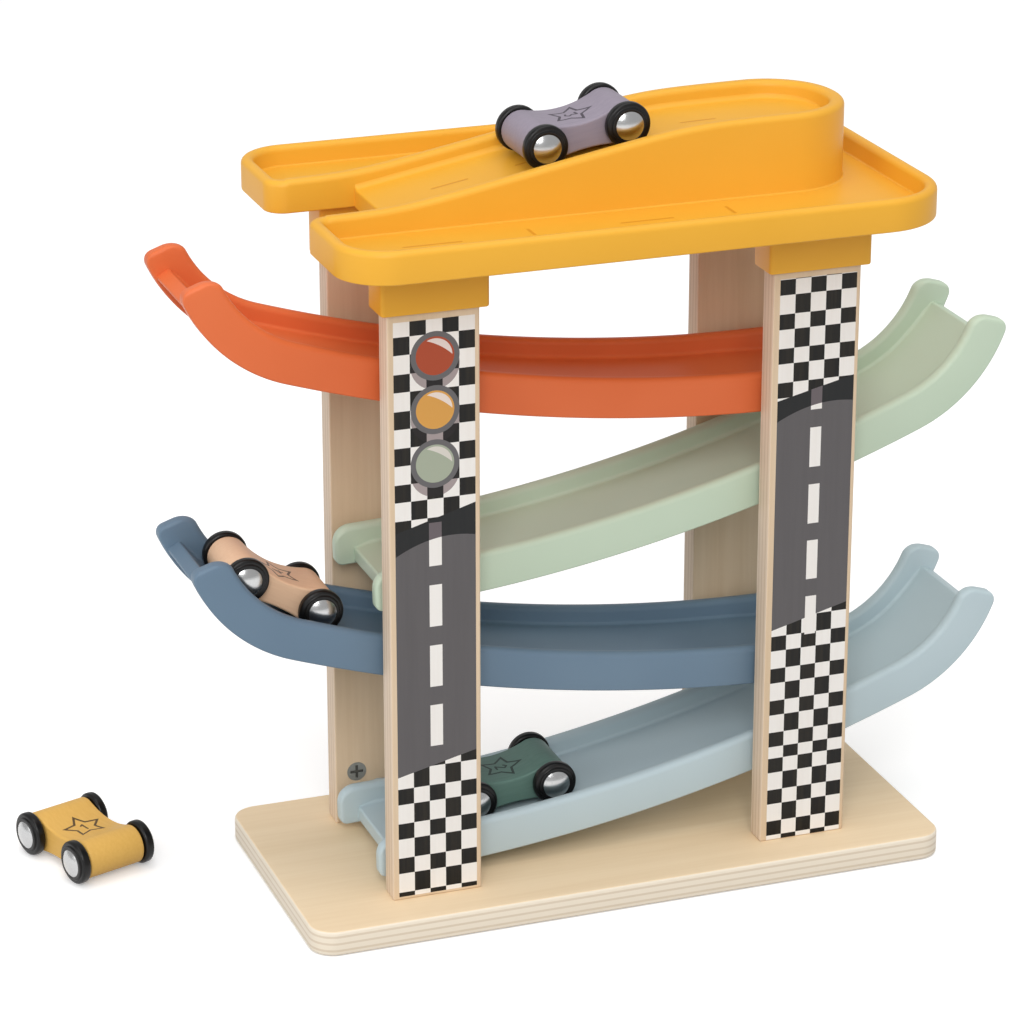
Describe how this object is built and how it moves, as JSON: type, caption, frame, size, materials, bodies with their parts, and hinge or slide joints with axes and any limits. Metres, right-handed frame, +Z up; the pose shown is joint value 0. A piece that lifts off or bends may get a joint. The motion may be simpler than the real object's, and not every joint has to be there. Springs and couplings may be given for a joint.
{
  "type": "click clack track toy",
  "caption": "Wooden click clack track: curved plastic tracks zigzag down between plywood posts from a start deck with a ramp, and small wooden cars roll and drop from track to track.",
  "frame": {"origin": "middle of the base board's underside", "axes": "+X along the board towards the deck's closed end, +Y from the printed posts to the rear posts, +Z up"},
  "size_m": [0.3834, 0.1629, 0.3119],
  "materials": {
    "plywood": "clear matt lacquer, with printed road pictures on the front posts",
    "fastener_steel": "zinc plated",
    "yellow_plastic": "satin",
    "orange_plastic": "satin",
    "mint_plastic": "satin",
    "dark_blue_plastic": "satin",
    "light_blue_plastic": "satin",
    "lilac_paint": "thin matt stain with an inked star",
    "peach_paint": "thin matt stain with an inked star",
    "green_paint": "thin matt stain with an inked star",
    "yellow_paint": "thin matt stain with an inked star",
    "axle_steel": "drawn",
    "black_wheel": "fine matt",
    "polished_dome": "polished"
  },
  "bodies": {
    "frame": {"base_board": "plywood", "front_left_post": "plywood", "front_right_post": "plywood", "rear_left_post": "plywood", "rear_right_post": "plywood", "base_bolts": "fastener_steel", "cross_nuts": "fastener_steel", "start_deck": "yellow_plastic", "orange_track": "orange_plastic", "mint_track": "mint_plastic", "dark_blue_track": "dark_blue_plastic", "light_blue_track": "light_blue_plastic"},
    "lilac_car": {"lilac_body": "lilac_paint"},
    "lilac_front_wheelset": {"lilac_front_axle": "axle_steel", "lilac_front_wheels": "black_wheel", "lilac_front_domes": "polished_dome"},
    "lilac_rear_wheelset": {"lilac_rear_axle": "axle_steel", "lilac_rear_wheels": "black_wheel", "lilac_rear_domes": "polished_dome"},
    "peach_car": {"peach_body": "peach_paint"},
    "peach_front_wheelset": {"peach_front_axle": "axle_steel", "peach_front_wheels": "black_wheel", "peach_front_domes": "polished_dome"},
    "peach_rear_wheelset": {"peach_rear_axle": "axle_steel", "peach_rear_wheels": "black_wheel", "peach_rear_domes": "polished_dome"},
    "green_car": {"green_body": "green_paint"},
    "green_front_wheelset": {"green_front_axle": "axle_steel", "green_front_wheels": "black_wheel", "green_front_domes": "polished_dome"},
    "green_rear_wheelset": {"green_rear_axle": "axle_steel", "green_rear_wheels": "black_wheel", "green_rear_domes": "polished_dome"},
    "yellow_car": {"yellow_body": "yellow_paint"},
    "yellow_front_wheelset": {"yellow_front_axle": "axle_steel", "yellow_front_wheels": "black_wheel", "yellow_front_domes": "polished_dome"},
    "yellow_rear_wheelset": {"yellow_rear_axle": "axle_steel", "yellow_rear_wheels": "black_wheel", "yellow_rear_domes": "polished_dome"}
  },
  "joints": [
    {"name": "lilac_travel", "type": "slide", "parent": "frame", "child": "lilac_car", "axis": [-0.9845, 0, -0.1752], "range_m": [-0.015, 0.06]},
    {"name": "lilac_front_spin", "type": "hinge", "parent": "lilac_car", "child": "lilac_front_wheelset", "pos_m": [-0.02342, 0, 0.29728], "axis": [0, -1, 0], "continuous": true},
    {"name": "lilac_rear_spin", "type": "hinge", "parent": "lilac_car", "child": "lilac_rear_wheelset", "pos_m": [0.00946, 0, 0.30313], "axis": [0, -1, 0], "continuous": true},
    {"name": "peach_travel", "type": "hinge", "parent": "frame", "child": "peach_car", "pos_m": [-0.09454, 0, 0.18148], "axis": [0, -1, 0], "range_deg": [-6, 6]},
    {"name": "peach_front_spin", "type": "hinge", "parent": "peach_car", "child": "peach_front_wheelset", "pos_m": [-0.11406, 0, 0.12351], "axis": [0, 1, 0], "continuous": true},
    {"name": "peach_rear_spin", "type": "hinge", "parent": "peach_car", "child": "peach_rear_wheelset", "pos_m": [-0.14303, 0, 0.14013], "axis": [0, 1, 0], "continuous": true},
    {"name": "green_travel", "type": "hinge", "parent": "frame", "child": "green_car", "pos_m": [-0.10839, 0, 0.68641], "axis": [0, 1, 0], "range_deg": [-12.5, 3]},
    {"name": "green_front_spin", "type": "hinge", "parent": "green_car", "child": "green_front_wheelset", "pos_m": [-0.05192, 0, 0.03315], "axis": [0, -1, 0], "continuous": true},
    {"name": "green_rear_spin", "type": "hinge", "parent": "green_car", "child": "green_rear_wheelset", "pos_m": [-0.01873, 0, 0.03687], "axis": [0, -1, 0], "continuous": true},
    {"name": "yellow_travel", "type": "slide", "parent": "frame", "child": "yellow_car", "axis": [0.3256, -0.9455, 0], "range_m": [-0.06, 0.06]},
    {"name": "yellow_front_spin", "type": "hinge", "parent": "yellow_car", "child": "yellow_front_wheelset", "pos_m": [-0.18756, 0.04081, 0.0088], "axis": [0.9455, 0.3256, 0], "continuous": true},
    {"name": "yellow_rear_spin", "type": "hinge", "parent": "yellow_car", "child": "yellow_rear_wheelset", "pos_m": [-0.19844, 0.07239, 0.0088], "axis": [0.9455, 0.3256, 0], "continuous": true}
  ],
  "couplings": [
    {"joint": "lilac_front_spin", "follows": "lilac_travel", "rad_per_m": 113.64},
    {"joint": "lilac_rear_spin", "follows": "lilac_travel", "rad_per_m": 113.64},
    {"joint": "peach_front_spin", "follows": "peach_travel", "ratio": 7.9507},
    {"joint": "peach_rear_spin", "follows": "peach_travel", "ratio": 8.2418},
    {"joint": "green_front_spin", "follows": "green_travel", "ratio": 75.534},
    {"joint": "green_rear_spin", "follows": "green_travel", "ratio": 75.534},
    {"joint": "yellow_front_spin", "follows": "yellow_travel", "rad_per_m": 113.64},
    {"joint": "yellow_rear_spin", "follows": "yellow_travel", "rad_per_m": 113.64}
  ]
}
